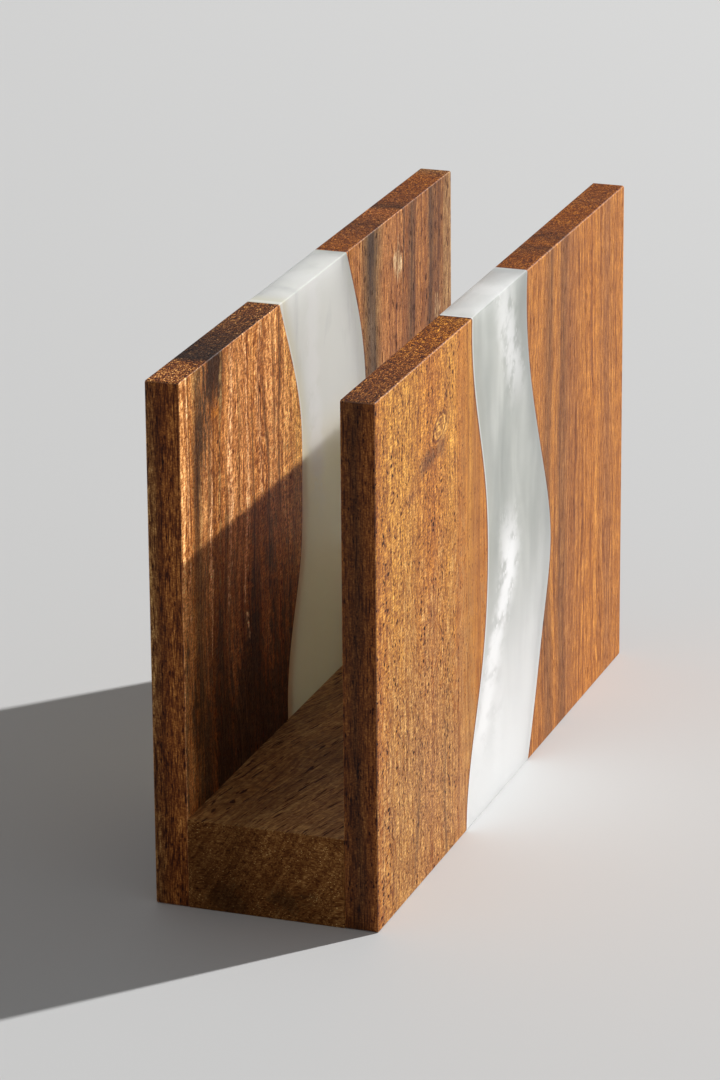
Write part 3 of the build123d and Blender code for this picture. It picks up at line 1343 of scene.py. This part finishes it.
@dataclass
class DowelPlan:
    """A Geometry Nodes tree that turns one fluted dowel along X.

    Attributes:
        inputs: the tree's named inputs and the kind of each.
        points: how many points go round the dowel for each flute.
    """

    inputs: tuple[tuple[str, str], ...] = (
        ("Middle", "NodeSocketVector"),
        ("Length", "NodeSocketFloat"),
        ("Diameter", "NodeSocketFloat"),
        ("Chamfer", "NodeSocketFloat"),
        ("Flute Radius", "NodeSocketFloat"),
        ("Flutes", "NodeSocketInt"),
        ("Wood", "NodeSocketMaterial"),
    )
    points: int = 48

    def tree(self) -> bpy.types.NodeTree:
        """Builds the tree: a fluted ring drawn along a line that tapers at both ends.

        Returns:
            The node tree.
        """
        group = bpy.data.node_groups.new("fluted_dowel", "GeometryNodeTree")
        for name, kind in self.inputs:
            group.interface.new_socket(name, in_out="INPUT", socket_type=kind)
        group.interface.new_socket("Geometry", in_out="OUTPUT", socket_type="NodeSocketGeometry")
        board = NodeBoard(group)
        sizes = board.add("NodeGroupInput").outputs
        half = board.math("MULTIPLY", sizes["Diameter"], 0.5)
        spine, ring = self.spine(board, sizes, half), self.ring(board, sizes, half)
        body = board.wire("GeometryNodeCurveToMesh", Curve=spine, Profile_Curve=ring, Fill_Caps=True)
        spot = board.add("GeometryNodePoints", 1, sizes["Middle"])
        pin = board.wire(
            "GeometryNodeInstanceOnPoints", Points=spot.outputs[0], Instance=body.outputs[0]
        )
        plain = board.add("GeometryNodeRealizeInstances", pin.outputs[0])
        dressed = board.wire(
            "GeometryNodeSetMaterial", Geometry=plain.outputs[0], Material=sizes["Wood"]
        )
        board.add("NodeGroupOutput", dressed.outputs[0])
        return group

    @staticmethod
    def spine(board: NodeBoard, sizes: bpy.types.NodeOutputs, half: Socket) -> Socket:
        """A line of four points along X, thinner at its two ends.

        Args:
            board: the board of the tree.
            sizes: the tree's inputs.
            half: half the diameter.

        Returns:
            The line.
        """
        line = board.add("GeometryNodeCurvePrimitiveLine")
        even = board.wire("GeometryNodeResampleCurve", Curve=line.outputs[0], Count=4)
        from_middle = board.math("SUBTRACT", board.add("GeometryNodeInputIndex").outputs[0], 1.5)
        last = board.math("GREATER_THAN", board.math("ABSOLUTE", from_middle), 1.0)
        taper = board.math("MULTIPLY", board.math("SUBTRACT", 1.0, last), sizes["Chamfer"])
        reach = board.math("SUBTRACT", board.math("MULTIPLY", sizes["Length"], 0.5), taper)
        along = board.math("MULTIPLY", board.math("SIGN", from_middle), reach)
        spot = board.add("ShaderNodeCombineXYZ", along).outputs[0]
        moved = board.wire("GeometryNodeSetPosition", Geometry=even.outputs[0], Position=spot)
        thinner = board.math("MULTIPLY", last, board.math("DIVIDE", sizes["Chamfer"], half))
        radius = board.math("SUBTRACT", 1.0, thinner)
        tapered = board.wire("GeometryNodeSetCurveRadius", Curve=moved.outputs[0], Radius=radius)
        return tapered.outputs[0]

    def ring(self, board: NodeBoard, sizes: bpy.types.NodeOutputs, half: Socket) -> Socket:
        """A circle with round flutes pressed into it at even steps.

        Args:
            board: the board of the tree.
            sizes: the tree's inputs.
            half: half the diameter.

        Returns:
            The closed curve.
        """
        count = board.math("MULTIPLY", sizes["Flutes"], self.points)
        circle = board.wire("GeometryNodeCurvePrimitiveCircle", Resolution=count, Radius=half)
        place = board.add("GeometryNodeInputPosition").outputs[0]
        parts = board.add("ShaderNodeSeparateXYZ", place).outputs
        step = board.math("DIVIDE", 2.0 * math.pi, sizes["Flutes"])
        turn = board.math("DIVIDE", board.math("ARCTAN2", parts["X"], parts["Y"]), step)
        aside = board.product(board.math("SUBTRACT", turn, board.math("ROUND", turn)), step, half)
        reach = board.math("POWER", sizes["Flute Radius"], 2.0)
        room = board.math("SUBTRACT", reach, board.product(aside, aside))
        depth = board.math("SQRT", board.highest(room, 0.0))
        inward = board.math("SUBTRACT", 1.0, board.math("DIVIDE", depth, half))
        scaled = board.add("ShaderNodeVectorMath", place, operation="SCALE")
        board.feed(scaled.inputs["Scale"], inward)
        pressed = board.wire(
            "GeometryNodeSetPosition", Geometry=circle.outputs["Curve"], Position=scaled.outputs[0]
        )
        return pressed.outputs[0]


@dataclass
class Dowels:
    """The four blind dowels that pin the strips to the base block.

    Attributes:
        spans: the holder's box.
        chamfer: how far each end tapers, in millimetres.
        flute_radius: how deep each flute is pressed in, in millimetres.
        flutes: how many flutes run along each dowel.
    """

    spans: HolderSpans
    chamfer: float = 0.7
    flute_radius: float = 0.35
    flutes: int = 6

    def build(self) -> None:
        """Turns the dowels in beech."""
        finish = WoodFinish(
            name="dowel_beech",
            grain=Grain.CROSSWISE,
            across=self.spans.along,
            along=self.spans.across,
            seed=33.0,
            bands=((0.0, Tone.BEECH), (0.5, Tone.BEECH_FLECK), (1.0, Tone.BEECH)),
            figure=Figure(dashes=0.3, pores=0.4),
        )
        material = finish.paint()
        tree = DowelPlan().tree()
        for node in sorted(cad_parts):
            if node.endswith("_dowel"):
                self.turn(node, tree, material)

    def turn(self, node: str, tree: bpy.types.NodeTree, material: bpy.types.Material) -> None:
        """Makes one dowel in the place of a packed one.

        Args:
            node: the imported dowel's name.
            tree: the Geometry Nodes tree.
            material: the finish.
        """
        low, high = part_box(node)
        values = {
            "Middle": tuple((low + high) / 2.0),
            "Length": high.x - low.x,
            "Diameter": high.y - low.y,
            "Chamfer": self.chamfer * MM,
            "Flute Radius": self.flute_radius * MM,
            "Flutes": self.flutes,
            "Wood": material,
        }
        piece = bpy.data.objects.new(f"{node}_turned", bpy.data.meshes.new(f"{node}_turned"))
        bpy.context.scene.collection.objects.link(piece)
        modifier = piece.modifiers.new("fluted_dowel", "NODES")
        modifier.node_group = tree
        for item in tree.interface.items_tree:
            if item.in_out == "INPUT":
                modifier[item.identifier] = values[item.name]
        made = piece.evaluated_get(bpy.context.evaluated_depsgraph_get())
        mesh = bpy.data.meshes.new_from_object(made)
        piece.modifiers.clear()
        piece.data = mesh
        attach(piece, "root")
        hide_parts(node)
        LOG.info("%s: %d faces, %s", node, len(mesh.polygons), material.name)


@dataclass
class Studio:
    """Floor, soft light and camera.

    Attributes:
        azimuth: the camera's turn round the holder, in degrees.
        elevation: the camera's height above the horizon, in degrees.
        roll: the camera's turn about its own line of sight, in degrees.
        distance: from the camera to its target, in metres.
        target: the point in the middle of the picture, in metres.
        lens: focal length in millimetres on a sensor whose long side is sensor.
        sensor: the sensor's long side in millimetres.
        floor_size: the floor's side, in metres.
        sky_light: how bright the even light from all round is.
        sky_seen: how bright the surroundings look.
    """

    azimuth: float = 19.72
    elevation: float = 19.37
    roll: float = -0.47
    distance: float = 1.0564
    target: tuple[float, float, float] = (-0.00914, 0.0, 0.05127)
    lens: float = 166.87
    sensor: float = 36.0
    floor_size: float = 12.0
    sky_light: float = 0.23
    sky_seen: float = 0.60

    def build(self) -> None:
        """Makes the floor, the lights, the surroundings and the camera."""
        self.lay_floor()
        self.hang_light("key_light", place=(2.98, 3.25, 3.42), size=0.10, power=358.0)
        self.hang_light("fill_light", place=(-0.9, -1.6, 0.9), size=1.4, power=0.4)
        self.surround()
        self.set_camera()
        bpy.context.scene.view_settings.view_transform = "Standard"

    def lay_floor(self) -> None:
        """Lays the pale floor under the holder."""
        half = self.floor_size / 2.0
        mesh = bpy.data.meshes.new("floor")
        corners = [(-half, -half, 0.0), (half, -half, 0.0), (half, half, 0.0), (-half, half, 0.0)]
        mesh.from_pydata(corners, [], [(0, 1, 2, 3)])
        mesh.materials.append(FloorFinish().paint())
        floor = bpy.data.objects.new("floor", mesh)
        bpy.context.scene.collection.objects.link(floor)
        floor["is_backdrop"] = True

    @staticmethod
    def hang_light(name: str, place: tuple[float, float, float], size: float, power: float) -> None:
        """Hangs one soft square lamp that faces the holder.

        Args:
            name: the lamp's name.
            place: where it hangs, in metres.
            size: its side, in metres.
            power: its power, in watts.
        """
        lamp = bpy.data.lights.new(name, "AREA")
        lamp.size = size
        lamp.energy = power
        holder = bpy.data.objects.new(name, lamp)
        holder.location = place
        aim = Vector(LAMP_AIM) - Vector(place)
        holder.rotation_euler = aim.to_track_quat("-Z", "Y").to_euler()
        bpy.context.scene.collection.objects.link(holder)

    def surround(self) -> None:
        """Surrounds the holder with even light, and shows a pale backdrop behind it."""
        world = bpy.data.worlds.new("studio")
        world.use_nodes = True
        board = NodeBoard(world.node_tree)
        path = board.add("ShaderNodeLightPath").outputs
        rays = ("Is Camera Ray", "Is Glossy Ray", "Is Transmission Ray")
        seen = board.highest(*(path[ray] for ray in rays))
        light = board.add("ShaderNodeBackground", (1.0, 1.0, 1.0, 1.0), self.sky_light)
        shown = board.add("ShaderNodeBackground", (1.0, 1.0, 1.0, 1.0), self.sky_seen)
        mix = board.add("ShaderNodeMixShader", seen, light.outputs[0], shown.outputs[0])
        board.add("ShaderNodeOutputWorld", mix.outputs[0])
        bpy.context.scene.world = world

    def set_camera(self) -> None:
        """Sets the camera where the photographer stood."""
        turn, lift, roll = (math.radians(angle) for angle in (self.azimuth, self.elevation, self.roll))
        back = Vector(
            (math.sin(turn) * math.cos(lift), -math.cos(turn) * math.cos(lift), math.sin(lift))
        )
        level = Vector((0.0, 0.0, 1.0)).cross(back).normalized()
        upward = back.cross(level)
        right = math.cos(roll) * level + math.sin(roll) * upward
        top = math.cos(roll) * upward - math.sin(roll) * level
        data = bpy.data.cameras.new("camera")
        data.lens = self.lens
        data.sensor_width = self.sensor
        camera = bpy.data.objects.new("camera", data)
        camera.matrix_world = Matrix.Translation(Vector(self.target) + back * self.distance) @ Matrix(
            (right, top, back)
        ).transposed().to_4x4()
        bpy.context.scene.collection.objects.link(camera)
        bpy.context.scene.camera = camera


def main() -> None:
    """Dresses the holder, piece by piece, and sets the studio round it."""
    logging.basicConfig(level=logging.INFO, format="%(name)s %(message)s")
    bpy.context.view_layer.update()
    spans = HolderSpans.of_frame()
    BaseBlock(spans).build()
    for side in ("left", "right"):
        RiverPanel(side, spans).build()
    Dowels(spans).build()
    Studio().build()


if __name__ == "__main__":
    main()
